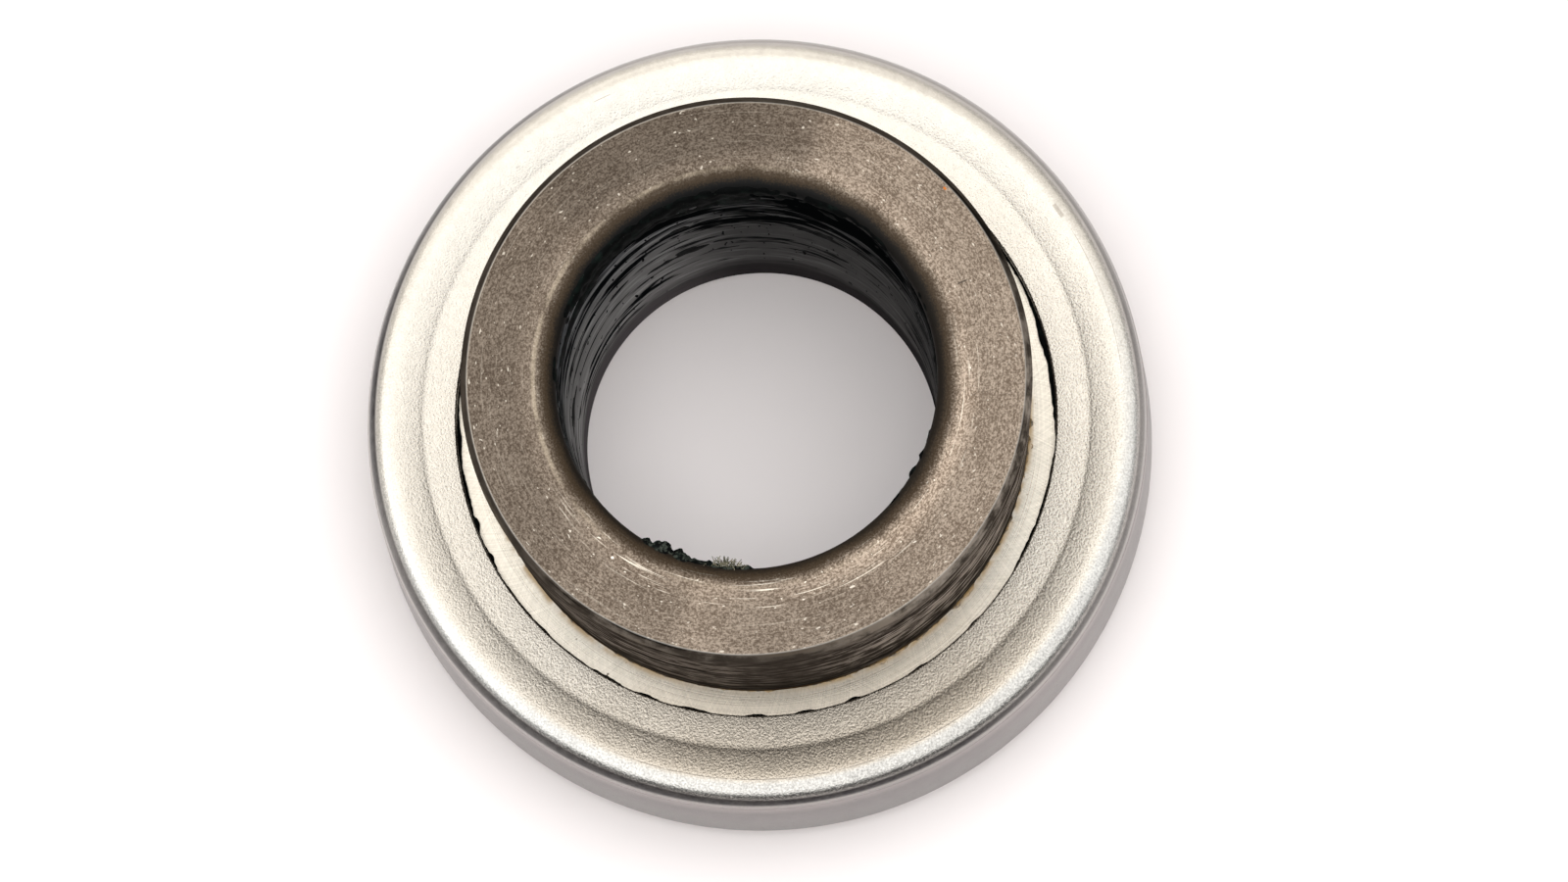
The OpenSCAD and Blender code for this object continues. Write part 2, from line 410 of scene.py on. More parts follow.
def spin(steps, angle):
    """Spins the outline that is being edited about the z axis into a mesh with its faces outwards."""
    bpy.ops.mesh.select_all(action="SELECT")
    bpy.ops.mesh.spin(steps=steps, angle=angle, center=(0, 0, 0), axis=(0, 0, 1))
    bpy.ops.mesh.select_all(action="SELECT")
    bpy.ops.mesh.remove_doubles(threshold=MM * 1e-3)
    bpy.ops.mesh.normals_make_consistent(inside=False)
    bpy.ops.object.mode_set(mode="OBJECT")


def turn(name, profile, steps=TURNS):
    """Turns a closed profile of (radius, height) points about the bore's axis."""
    piece = blank(name)
    path = [(0.0, 0.0), *profile, profile[0]]
    bpy.ops.transform.translate(value=(path[1][0], 0, path[1][1]))
    for (r0, z0), (r1, z1) in zip(path[1:], path[2:]):
        bpy.ops.mesh.extrude_region_move(TRANSFORM_OT_translate={"value": (r1 - r0, 0, z1 - z0)})
    bpy.ops.mesh.select_all(action="SELECT")
    bpy.ops.mesh.remove_doubles(threshold=MM * 1e-4)
    spin(steps, math.tau)
    bpy.ops.object.shade_smooth_by_angle(angle=SOFT_ANGLE)
    return piece


def smooth(value, low, high):
    """0 below low, 1 above high and smooth between; low may lie above high."""
    t = min(1.0, max(0.0, (value - low) / (high - low)))
    return t * t * (3 - 2 * t)


def swirl(az, z, length, width, seed):
    """Noise stretched along circles: length in radians, width in metres."""
    return noise.noise(Vector((math.cos(az) / length + seed * 31.7, math.sin(az) / length, z / width)))


def around(piece):
    """Each point of a piece's mesh with its radius and azimuth."""
    for vertex in piece.data.vertices:
        yield vertex, math.hypot(vertex.co.x, vertex.co.y), math.atan2(vertex.co.y, vertex.co.x)


def apart(az, degrees):
    """Angle in degrees between an azimuth in radians and one in degrees."""
    return math.degrees(abs(math.remainder(az - math.radians(degrees), math.tau)))


def skirt_radius(shell, z, inset=0.0):
    """Radius of the skirt's drafted wall at a height, or of a surface inset from it."""
    start = shell.under + shell.sheet - shell.round
    out = shell.shoulder + (shell.round - inset) / math.cos(shell.draft)
    return out + (start - z) * math.tan(shell.draft)


def seat(piece, body, slot, *nodes):
    """Hangs a finished piece on its body and hides the nodes it stands for; the slot is not used."""
    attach(piece, body)
    if nodes:
        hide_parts(*nodes)


def paint(piece, *finishes):
    """Gives a piece its material slots."""
    piece.data.materials.clear()
    for finish in finishes:
        piece.data.materials.append(finish)


# Finishes


def face_finish(hub):
    """Brushed, heat-darkened rear face with worn arcs and the grimy mouth."""
    f = Finish("hub_face")
    speck = f.noise(f.place, 6000, 2, 0.6)
    fleck = f.noise(f.arcs(0.015, 0.00017), 1, 2, 0.55, 9)
    cloud = f.noise(f.place, 260, 3, 0.55, 3)
    brushed = f.noise(f.arcs(0.16, 0.00014), 1, 2, 0.5, 1)
    edge = hub.bore + hub.mouth
    tone = (speck - 0.5) * 2.6 + (fleck - 0.5) * 2.2 + (cloud - 0.5) * 0.7 + (brushed - 0.5) * 0.6
    f.colour = f.mix(f.step(tone + 0.42, -0.10, 1.10), hub.face_dark, hub.face_pale)
    ring = f.step(f.r + (cloud - 0.5) * 0.001, edge + 0.0024, edge + 0.0006)
    # Painted sheen: the brushed face is made lighter in sectors on the right and darker at the far side, as
    # the light falls on it; a worn band by the mouth is lighter too, most on the near right.
    sheen_and_worn_ring = f.sector(332, 86, 6) * 0.35 + f.sector(0, 40, 45) * 0.36 + f.sector(232, 6, 22) * 0.28
    near_ring = f.sector(312, 22, 30) * 0.62 + f.sector(90, 30, 40) * 0.08 + 0.26
    sheen_and_worn_ring = sheen_and_worn_ring - f.sector(93, 28, 8) * 0.24 + ring * near_ring + 1
    f.shade(sheen_and_worn_ring)
    worn = f.step(f.noise(f.arcs(0.30, 0.00015), 1, 2, 0.5, 7), 0.60, 0.70)
    inner = f.step(f.r, hub.bore + 0.0052, hub.bore + 0.0026) * f.sector(285, 60, 35)
    f.lay(worn * (inner * 0.8 + 0.10), (0.62, 0.57, 0.49))
    chips = f.step(f.noise(f.arcs(0.026, 0.00030), 1, 1, 0.5, 11), 0.69, 0.74)
    f.lay(chips * (inner * 0.5 + 0.45), (0.66, 0.61, 0.53))
    pits = f.step(f.noise(f.place, 3400, 1, 0.5, 13), 0.31, 0.27)
    f.lay(pits * 0.6, (0.045, 0.034, 0.027))
    marks = f.mark(11, 0.16, 0.0212, 0.0221) | f.mark(238, 1.3, 0.02572, 0.02588)
    f.lay(marks * 0.75, (0.03, 0.024, 0.02))
    f.lay(f.mark(31, 0.30, 0.0251, 0.0253), (0.35, 0.11, 0.02))
    # Painted highlight: a pale line on the face's outer edge, brightest at the far left.
    outer = f.step(f.r, hub.radius - hub.rim_width - 0.00012, hub.radius - hub.rim_width + 0.00002)
    f.lay(outer * (f.sector(140, 30, 50) * 0.3 + 0.22), (0.55, 0.51, 0.45))
    # A paler worn line round the mouth's edge, with painted highlight that is brightest at the far left.
    worn_and_lit_mouth_edge = f.band(f.r, edge - 0.00010, edge + 0.00030, 0.00014) * f.step(cloud, 0.36, 0.55)
    f.lay(worn_and_lit_mouth_edge * (f.sector(140, 40, 40) * 0.3 + 0.12), (0.40, 0.34, 0.26))
    rough_r = f.r + (cloud - 0.5) * 0.0008 + (speck - 0.5) * 0.0012 - f.cos * 0.00016 - f.sin * 0.00016
    grime = f.step(rough_r, edge + 0.0006, edge - 0.0008)
    f.lay(grime * 0.95, (0.036, 0.023, 0.012))
    soot = f.step(rough_r, edge - 0.0007, edge - 0.0015)
    f.lay(soot * (0.84 + f.sin * 0.16), (0.006, 0.006, 0.006))
    return f.surface({
        "Metallic": 0.80 - grime * 0.80,
        "Roughness": 0.47 + (speck - 0.5) * 0.25 - worn * 0.1 + grime * 0.1,
        "Specular IOR Level": 0.08,
        "Normal": f.bump(speck * 0.6 + fleck * 0.5 + brushed * 0.8, 0.00002, 0.6),
    })


def side_finish(hub):
    """Black oxide on the hub's side, with turning marks and a rougher, paler middle band."""
    f = Finish("hub_side")
    turned = f.noise(f.arcs(1.6, height=0.0034), 1, 4, 0.7)
    scored = f.noise(f.arcs(0.8, height=0.0013), 1, 3, 0.7, 8)
    torn = f.noise(f.arcs(0.090, height=0.0011), 1, 4, 0.65, 5)
    middle = f.band(f.z, hub.top - 0.0215, hub.top - 0.0045, 0.0018)
    # Painted highlight: the pale turning marks show mostly on the right and the near left, where the light
    # falls; elsewhere they stay faint.
    painted_light_right = f.sector(318, 24, 30) * 0.95 + f.sector(235, 10, 20) * 0.40 + 0.13
    pale = f.step(torn * 0.50 + turned * 0.25 + scored * 0.35, 0.51, 0.64) * (middle * 0.45 + 0.55) * painted_light_right
    f.colour = f.mix(pale, hub.side, (0.38, 0.325, 0.27))
    line = f.step(scored * 0.5 + turned * 0.5, 0.55, 0.63) * f.step(torn, 0.34, 0.50)
    f.lay(line * 0.45, (0.12, 0.093, 0.067))
    black = f.step(scored * 0.8 + torn * 0.2, 0.44, 0.37)
    f.lay(black * 0.9, (0.006, 0.005, 0.004))
    edge = f.step(f.z, hub.top - 0.00014, hub.top - 0.00003)
    f.lay(edge * 0.5, (0.40, 0.38, 0.35))
    foot = f.step(f.z + (torn - 0.5) * 0.002, hub.top - 0.0236, hub.top - 0.0250)
    f.lay(foot * f.step(turned, 0.42, 0.60) * 0.7, (0.12, 0.060, 0.016))
    return f.surface({
        "Metallic": edge * 0.8,
        "Roughness": 0.60 + (turned - 0.5) * 0.3,
        "Specular IOR Level": 0.0,
        "Normal": f.bump(turned * 0.6 + scored * 0.4 + torn * middle * 0.9, 0.00010, 0.9),
    })


def bore_finish(hub):
    """Grey bore wall, wiped with black grease in long streaks round the bore."""
    f = Finish("hub_bore")
    wide = f.noise(f.arcs(1.10, height=0.0060), 1, 2, 0.5)
    fine = f.noise(f.arcs(0.60, height=0.0024), 1, 3, 0.6, 2)
    hair = f.noise(f.arcs(0.35, height=0.0010), 1, 2, 0.6, 6)
    drops = f.noise(f.arcs(0.030, height=0.0022), 1, 1, 0.5, 4)
    upper = f.step(f.z, hub.top - 0.017, hub.top - 0.0030)
    far = f.sector(72, 25, 60)
    smooth_end = f.step(f.z + (wide + fine - 1) * 0.005, hub.front + 0.0085, hub.front + 0.0045)
    wiped = fine * 0.46 + wide * 0.24 + hair * 0.30 + upper * (far * 0.04 + 0.05) + far * 0.02
    streak = f.step(wiped, 0.535, 0.575) * (1 - smooth_end * 0.9)
    spot = f.step(drops, 0.68, 0.71) * (1 - smooth_end)
    wet = streak | spot
    f.colour = f.mix(upper, hub.wall, (0.110, 0.114, 0.120))
    f.lay(f.step(hair * 0.7 + fine * 0.3, 0.49, 0.36) * 0.75, (0.38, 0.375, 0.37))
    f.lay(smooth_end, (0.075, 0.068, 0.070))
    # Painted light and shade: the wall is lit up on the far left side and darkened all round elsewhere.
    f.shade(f.sector(143, 16, 46) * 1.05 + 0.54)
    f.lay(wet, (0.0050, 0.0062, 0.0066))
    return f.surface({
        "Roughness": 0.55 - wet * 0.20 + (fine - 0.5) * 0.2,
        "Specular IOR Level": 0.0,
        "Normal": f.bump(wet * 0.7 + fine * 0.5, 0.00012, 0.7),
    })


def grease_finish(hub):
    """Old black grease with a green tinge and a wet gloss."""
    f = Finish("black_grease")
    grit = f.noise(f.place, 2600, 3, 0.6)
    green = f.step(f.noise(f.place, 900, 2, 0.5, 3), 0.50, 0.70)
    f.colour = f.mix(green, (0.0025, 0.0028, 0.0028), (0.006, 0.010, 0.0085))
    # Painted sheen: pale greenish flecks on the grit all over, and more on the lumps at the mouth near
    # azimuth 240.
    lump_sheen = f.sector(240, 17, 5) * f.step(f.z, hub.top - 0.00294, hub.top - 0.00164)
    pale_flecks = f.step(grit, 0.62, 0.75) * 0.5 | f.step(grit, 0.47, 0.62) * lump_sheen
    f.lay(pale_flecks, (0.050, 0.058, 0.047))
    return f.surface({
        "Roughness": 0.66 + (grit - 0.5) * 0.3,
        "Specular IOR Level": 0.02,
        "Normal": f.bump(grit, 0.00006, 0.6),
    })


def amber_finish(race):
    """Amber varnish that has dried in beads and curls."""
    f = Finish("amber_varnish")
    cloud = f.noise(f.place, 1500, 3, 0.6)
    dark = tuple(c * 0.18 for c in race.stain)
    f.colour = f.mix(f.step(cloud, 0.38, 0.62), dark, race.stain)
    return f.surface({
        "Roughness": 0.30 + (cloud - 0.5) * 0.3,
        "Coat Weight": 0.4,
        "Normal": f.bump(cloud, 0.00004, 0.5),
    })


def fibre_finish():
    """Dusty lint caught in the grease."""
    f = Finish("dusty_lint")
    pale_flecks = f.noise(f.place, 2400, 2, 0.5)
    f.colour = f.mix(f.step(pale_flecks, 0.3, 0.7), (0.06, 0.062, 0.040), (0.33, 0.30, 0.205))
    return f.surface({"Roughness": 0.85, "Specular IOR Level": 0.2})


def ground_finish(race, hub):
    """Ground steel with fine turning lines, oblique grinding marks and amber stains at the hub's foot."""
    f = Finish("ground_race")
    lines = f.noise(f.arcs(0.6, 0.00007), 1, 2, 0.6)
    ground = f.noise(f.oblique(14, 0.0046, 0.0040), 1, 2, 0.5, 3)
    crossed = f.noise(f.oblique(-26, 0.0060, 0.0050), 1, 2, 0.5, 5)
    cloud = f.noise(f.place, 420, 2, 0.5, 6)
    tone = 0.95 + (lines - 0.5) * 0.6 + (ground - 0.5) * 0.6 + (crossed - 0.5) * 0.45
    # Painted shade: the races are darker and warmer on the near side.
    near_shade = f.step(f.sin + (cloud - 0.5) * 0.2, -0.6, -1.0)
    f.colour = f.mix(near_shade, f.scale(race.ground, tone), f.scale(race.near_shade, tone))
    scratch = f.step(f.noise(f.arcs(0.25, 0.00009), 1, 1, 0.5, 8), 0.30, 0.24)
    f.lay(scratch * 0.55, (0.20, 0.165, 0.12))
    pit = f.step(f.noise(f.place, 1900, 1, 0.5, 9), 0.265, 0.235)
    f.lay(pit * 0.8, (0.07, 0.05, 0.03))
    near = f.step(f.r + (cloud - 0.5) * 0.0008, hub.radius + 0.0007, hub.radius + 0.0001)
    side = (f.sector(322, 46, 14) | f.sector(214, 20, 12)) * 0.75 + 0.25
    stain = near * side * f.step(cloud, 0.34, 0.52)
    f.lay(stain * 0.8, race.stain)
    return f.surface({
        "Metallic": 1 - stain * 0.6 - pit * 0.5,
        "Roughness": 0.28 + (lines - 0.5) * 0.08 + stain * 0.10,
        "Normal": f.bump(lines * 0.7 + ground * 0.6, 0.000008, 0.8),
    })


def plate_finish(shell):
    """Satin plated sheet: grainy on the drawn face, smoother on the shoulder and the ironed skirt."""
    f = Finish("plated_sheet")
    grain = f.noise(f.place, 5000, 2, 0.6)
    soft = f.noise(f.place, 1300, 2, 0.5, 2)
    cloud = f.noise(f.place, 140, 2, 0.5, 5)
    top = shell.under + shell.sheet
    start = top - shell.round
    skirt = f.step(f.z, start + 0.0016, start + 0.0006)
    shoulder = f.step(f.r, shell.shoulder - 0.0002, shell.shoulder + 0.0008)
    drawn = f.noise(f.arcs(0.05, height=0.0040), 1, 2, 0.5, 8)
    # Painted light: the skirt is lighter towards its top, less on the right and more on the near right.
    painted_skirt_light = f.step(f.z, start - 0.0032, start - 0.0002) * 0.80
    painted_skirt_light = skirt * (painted_skirt_light - f.sector(0, 30, 20) * 0.30 + f.sector(322, 14, 20) * 0.28)
    # The grain's contrast is painted stronger on the near side, where the light brings it out, and weaker
    # on the skirt.
    tone = 1 + (grain - 0.5) * (0.75 - f.sin * 0.75) * (1 - skirt * 0.6)
    tone = tone + (soft - 0.5) * 0.25 + (cloud - 0.5) * 0.16 + painted_skirt_light + (drawn - 0.5) * skirt * 0.4
    # Painted shade: the shoulder is darkened on the near side to dim its highlight.
    tone = tone - shoulder * (1 - skirt) * f.step(f.sin, -0.1, -0.9) * 0.16
    # Painted shade: the plate is darker and warmer on the near side.
    near_shade = f.step(f.sin + (cloud - 0.5) * 0.2, -0.6, -1.0)
    f.colour = f.mix(near_shade, shell.plate, shell.near_shade)
    f.lay(shoulder * 0.7, (0.425, 0.416, 0.400))
    # The skirt's dark colour is partly its duller ironed finish and partly painted shade.
    f.lay(skirt, shell.ironed)
    f.shade(tone)
    # Painted shade in the crease, stronger on the near side.
    crease = f.band(f.r, shell.crease - 0.00010, shell.crease + 0.00004, 0.00010) * (1 - shoulder)
    f.lay(crease * f.step(soft, 0.30, 0.60) * (0.22 - f.sin * 0.20), (0.12, 0.105, 0.09))
    die = f.band(f.r, shell.shoulder + 0.00010, shell.shoulder + 0.00019, 0.00004) * f.sector(266, 26, 10)
    f.lay(die * f.step(soft, 0.34, 0.46) * 0.7, (0.12, 0.105, 0.09))
    # Painted shade: a dark band below the shoulder's highlight, strongest on the near side and at the far
    # left.
    near = 0.66 - f.sin * 0.30 + f.sector(140, 18, 30) * 0.4 - f.sector(325, 16, 20) * 0.2
    edge = f.r + f.sector(190, 40, 40) * 0.00016 - f.sector(278, 40, 30) * 0.00009
    painted_shoulder_shade = f.step(edge, shell.shoulder + 0.00187, shell.shoulder + 0.00211)
    painted_shoulder_shade = painted_shoulder_shade * f.step(f.r, shell.shoulder + 0.00267, shell.shoulder + 0.00243)
    painted_shoulder_shade = painted_shoulder_shade * f.step(f.z, start, start + 0.0006)
    f.lay(painted_shoulder_shade * (near + (soft - 0.5) * 0.3), (0.019, 0.017, 0.018))
    scratch = f.mark(103, 1.2, 0.03450, 0.03458) | f.mark(21.7, 1.0, 0.0350, 0.0354)
    scratch = scratch | f.mark(6, 9.5, 0.03524, 0.03529)
    f.lay(scratch * 0.5, (0.16, 0.14, 0.115))
    # Painted reflection: a pale beige line along the foot, the floor's colour on its rounded edge.
    low = f.step(f.z + (cloud - 0.5) * 0.0006, shell.foot + 0.0012, shell.foot + 0.0006)
    f.lay(low * 0.65, (0.37, 0.325, 0.29))
    pits = f.step(f.noise(f.place, 1100, 2, 0.6, 12), 0.315, 0.275) * skirt * f.sector(266, 22, 8)
    f.lay(pits * 0.8, (0.04, 0.035, 0.033))
    return f.surface({
        "Metallic": 1.0,
        "Roughness": 0.27 - shoulder * 0.04 + skirt * 0.06 + (grain - 0.5) * 0.12,
        "Normal": f.bump(grain * (1 - skirt * 0.75) + soft * 0.1 + drawn * skirt * 0.3, 0.000036, 0.9),
    })


def sheet_finish(race):
    """Pressed shield sheet with faint drawing lines."""
    f = Finish("pressed_shield")
    lines = f.noise(f.arcs(0.4, 0.00020), 1, 2, 0.5)
    oil = f.noise(f.place, 350, 3, 0.55, 3)
    tone = 1 + (lines - 0.5) * 0.4
    film = f.step(oil, 0.50, 0.72)
    f.colour = f.scale(race.sheet, tone)
    f.lay(film * 0.6, (0.05, 0.04, 0.03))
    return f.surface({
        "Metallic": 1 - film * 0.5,
        "Roughness": 0.38 + (lines - 0.5) * 0.2,
        "Normal": f.bump(lines, 0.00002, 0.5),
    })


def polish_finish(race):
    """Polished ball steel under a thin film of oil."""
    f = Finish("polished_ball")
    haze = f.noise(f.place, 900, 3, 0.5)
    f.colour = f.scale(race.polish, 0.9 + haze * 0.2)
    return f.surface({
        "Metallic": 1.0,
        "Roughness": 0.06 + f.step(haze, 0.45, 0.75) * 0.14,
    })


def nylon_finish(race):
    """Moulded brown nylon of the cage."""
    f = Finish("moulded_nylon")
    grain = f.noise(f.place, 2600, 3, 0.6)
    oil = f.noise(f.place, 260, 2, 0.5, 2)
    dark = tuple(c * 0.55 for c in race.nylon)
    f.colour = f.mix(f.step(oil, 0.35, 0.7), race.nylon, dark)
    return f.surface({
        "Roughness": 0.48 + (grain - 0.5) * 0.3 - f.step(oil, 0.4, 0.7) * 0.2,
        "Normal": f.bump(grain, 0.00002, 0.4),
    })


def light_tent(world, stage):
    """Soft tent that the metal reflects: bright overhead, darker at the horizon and on the near side."""
    n = Nodes(world)
    towards = n.node("ShaderNodeTexCoord", output="Generated")
    near = n.dot(towards, (0, -1, 0))
    far = n.step(near, -0.20, -0.50) * n.step(near, -0.90, -0.65)
    horizon = 0.31 - near * 0.29
    up = n.dot(towards, (0.10, -0.10, 0.99))
    roof = n.step(up, math.cos(math.radians(81)), math.cos(math.radians(59)))
    side = 1 - n.dot(towards, (0.28, 0, 0))
    strength = (horizon + (1 - horizon) * roof) * side * (1 - far * 0.20) * stage.tent
    colour = n.mix(n.step(near, 0.10, -0.35), (0.98, 0.995, 1.0), (1, 0.95, 0.87))
    light = n.node("ShaderNodeBackground", values={"Color": colour, "Strength": strength})
    n.node("ShaderNodeOutputWorld", values={0: light})
    world.cycles_visibility.diffuse = False


# Operators


class BEARING_OT_hub_sleeve(bpy.types.Operator):
    """Turn the hub sleeve: bore, mouth, rear face, rim and spigot"""

    bl_idname = "bearing.hub_sleeve"
    bl_label = "Hub sleeve"

    def execute(self, context):
        hub, race = context.scene.bearing.hub, context.scene.bearing.race
        rim_in, rim_low = hub.radius - hub.rim_width, hub.top - hub.rim_height
        mouth_in = (hub.bore, hub.top - hub.mouth)
        face_out, side_top, side_foot = (rim_in, hub.top), (hub.radius, rim_low), (hub.radius, race.face)
        profile = [
            (hub.bore, hub.front + hub.end),
            mouth_in,
            *arc((hub.bore + hub.mouth, mouth_in[1]), hub.mouth, 180, 90, 18)[1:],
            *corner((hub.bore + hub.mouth, hub.top), face_out, side_top, hub.edge),
            *corner(face_out, side_top, side_foot, hub.edge),
            side_foot,
            (hub.spigot, race.face),
            (hub.spigot, hub.front + hub.end),
            (hub.spigot - hub.end, hub.front),
            (hub.bore + hub.end, hub.front),
        ]
        piece = turn("hub_sleeve_turned", profile)
        paint(piece, side_finish(hub), bore_finish(hub), face_finish(hub))
        for face in piece.data.polygons:
            x, y, z = face.center
            r = math.hypot(x, y)
            in_mouth = r < hub.bore + hub.mouth and z > mouth_in[1]
            if in_mouth or z > hub.top - MM * 0.01:
                face.material_index = 2
            elif r < hub.bore + MM * 0.1:
                face.material_index = 1
        seat(piece, "hub", "hub_steel", "hub_sleeve")
        return {"FINISHED"}


class BEARING_OT_inner_race(bpy.types.Operator):
    """Turn the inner race, whose ground face shows round the foot of the hub"""

    bl_idname = "bearing.inner_race"
    bl_label = "Inner race"

    def execute(self, context):
        hub, race = context.scene.bearing.hub, context.scene.bearing.race
        groove = race.ball + race.gap
        low_r = race.pitch - groove + race.low_side
        high = race.height + math.sqrt(groove**2 - (race.pitch - race.flange) ** 2)
        low = race.height - math.sqrt(groove**2 - (race.pitch - low_r) ** 2)
        start = math.degrees(math.atan2(high - race.height, race.flange - race.pitch))
        end = math.degrees(math.atan2(low - race.height, low_r - race.pitch)) + 360
        profile = [
            (hub.spigot, race.front),
            (hub.spigot, race.face),
            (race.flange - race.chamfer, race.face),
            (race.flange, race.face - race.chamfer),
            *arc((race.pitch, race.height), groove, start, end, 16),
            (low_r, race.front + race.chamfer),
            (low_r - race.chamfer, race.front),
        ]
        piece = turn("inner_race_ground", profile)
        paint(piece, ground_finish(race, hub))
        seat(piece, "hub", "race_steel", "inner_race")
        return {"FINISHED"}


class BEARING_OT_cover_shell(bpy.types.Operator):
    """Turn the drawn shell: lip, two dished bands, soft crease, shoulder, skirt and crimped foot"""

    bl_idname = "bearing.cover_shell"
    bl_label = "Cover shell"

    def execute(self, context):
        s = context.scene.bearing.shell
        crease_z = s.under + s.sheet
        centre = (s.shoulder, crease_z - s.round)

        def fall(r):
            """Slope of the top at a radius in mm."""
            for (r0, a0), (r1, a1) in zip(SLOPES, SLOPES[1:]):
                if r <= r1:
                    return math.tan(math.radians(a0 + (a1 - a0) * (r - r0) / (r1 - r0)))

        top, height = [], 0.0
        for k in range(int((SLOPES[-1][0] - SLOPES[0][0]) / STRIDE)):
            r = SLOPES[-1][0] - (k + 0.5) * STRIDE
            height += fall(r) * STRIDE
            top.append(((r - STRIDE / 2) * MM, height * MM))
        # The soft crease sinks a little below the sheet's plane; the shoulder is part of an ellipse
        base = crease_z - MM * 0.06 - next(z for r, z in top if r < s.crease)
        crest = SLOPES[-1][0] * MM
        wide, tall = s.shoulder + s.round - s.step - crest, base - centre[1]
        bands = [(crest + wide * c, centre[1] + tall * h) for c, h in arc((0, 0), 1, 4, 90, 30)]
        # Rows lie closer at the crease
        for k, (r, z) in enumerate(top):
            keep_every = 2 if -0.75 * MM < r - s.crease < 0.25 * MM else 8
            if k % keep_every == 1:
                bands.append((r, base + z))
        inner_crest, lip_top = s.lip + s.lip_round, base + top[-1][1]
        seat_top = s.foot + s.sheet
        foot_out = (skirt_radius(s, s.foot), s.foot)
        seat_out = skirt_radius(s, seat_top, s.sheet)
        ledge = (centre[0] + s.round * math.cos(s.draft), centre[1] + s.round * math.sin(s.draft))
        crimp = seat_out - s.crimp
        profile = [
            (crimp, s.foot),
            *corner((crimp, s.foot), foot_out, ledge, s.foot_round),
            (ledge[0] + MM * 0.004, ledge[1] - MM * 0.06),
            (ledge[0] - s.step * 0.35, ledge[1] + MM * 0.015),
            *bands,
            *arc((inner_crest, lip_top - s.lip_round), s.lip_round, 90, 180, 8),
            (s.lip, s.under),
            *arc(centre, s.round - s.sheet, 90, math.degrees(s.draft), 10),
            (seat_out, seat_top),
            (crimp, seat_top),
        ]
        piece = turn("cover_shell_drawn", profile)
        paint(piece, plate_finish(s))
        seat(piece, "outer", "plated_shell", "cover_shell")
        return {"FINISHED"}


class BEARING_OT_outer_race(bpy.types.Operator):
    """Turn the outer race with its thrust nose and ball groove"""

    bl_idname = "bearing.outer_race"
    bl_label = "Outer race"

    def execute(self, context):
        hub, race, s = context.scene.bearing.hub, context.scene.bearing.race, context.scene.bearing.shell
        groove = race.ball + race.gap
        bore = race.pitch + groove - race.low_side
        floor = race.height - groove + race.low_side
        seat_top = s.foot + s.sheet
        seat_out = skirt_radius(s, seat_top, s.sheet)
        nose = seat_out - s.crimp - race.nose_ledge
        high = race.height + math.sqrt(groove**2 - (bore - race.pitch) ** 2)
        low = race.pitch - math.sqrt(groove**2 - (race.height - floor) ** 2)
        start = math.degrees(math.atan2(high - race.height, bore - race.pitch))
        end = math.degrees(math.atan2(floor - race.height, low - race.pitch))
        profile = [
            (race.shield_out + race.chamfer, 0),
            (race.shield_out, race.chamfer),
            (race.shield_out, race.seat),
            (race.shield_out - race.ledge, race.seat),
            (race.shield_out - race.ledge, floor),
            *arc((race.pitch, race.height), groove, end, start, 18),
            (bore, race.outer_top),
            (skirt_radius(s, race.outer_top, s.sheet), race.outer_top),
            (seat_out, seat_top),
            (nose, seat_top),
            *corner((nose, seat_top), (nose, 0), (race.shield_out, 0), race.nose_round, 8),
        ]
        piece = turn("outer_race_nosed", profile)
        paint(piece, ground_finish(race, hub))
        seat(piece, "outer", "race_steel", "outer_race")
        return {"FINISHED"}


class BEARING_OT_front_shield(bpy.types.Operator):
    """Turn the pressed front shield with its collar"""

    bl_idname = "bearing.front_shield"
    bl_label = "Front shield"

    def execute(self, context):
        race = context.scene.bearing.race
        front, bend, sheet = race.seat - race.shield_sheet, race.shield_bend, race.shield_sheet
        centre = (race.shield_in + sheet + bend, race.seat + bend)
        top = front + race.shield_collar
        profile = [
            (race.shield_out, front),
            (race.shield_out, race.seat),
            *arc(centre, bend, 270, 180, 6),
            (race.shield_in + sheet, top),
            (race.shield_in, top),
            *arc(centre, bend + sheet, 180, 270, 8),
        ]
        piece = turn("front_shield_pressed", profile)
        paint(piece, sheet_finish(race))
        seat(piece, "outer", "shield_steel", "front_shield")
        return {"FINISHED"}


class BEARING_OT_ball_set(bpy.types.Operator):
    """Finish the balls and their cage"""

    bl_idname = "bearing.ball_set"
    bl_label = "Balls and cage"

    def execute(self, context):
        race = context.scene.bearing.race
        polish, nylon = polish_finish(race), nylon_finish(race)
        for name in BALLS:
            paint(frame["nodes"][name], polish)
        paint(frame["nodes"]["ball_cage"], nylon)
        return {"FINISHED"}


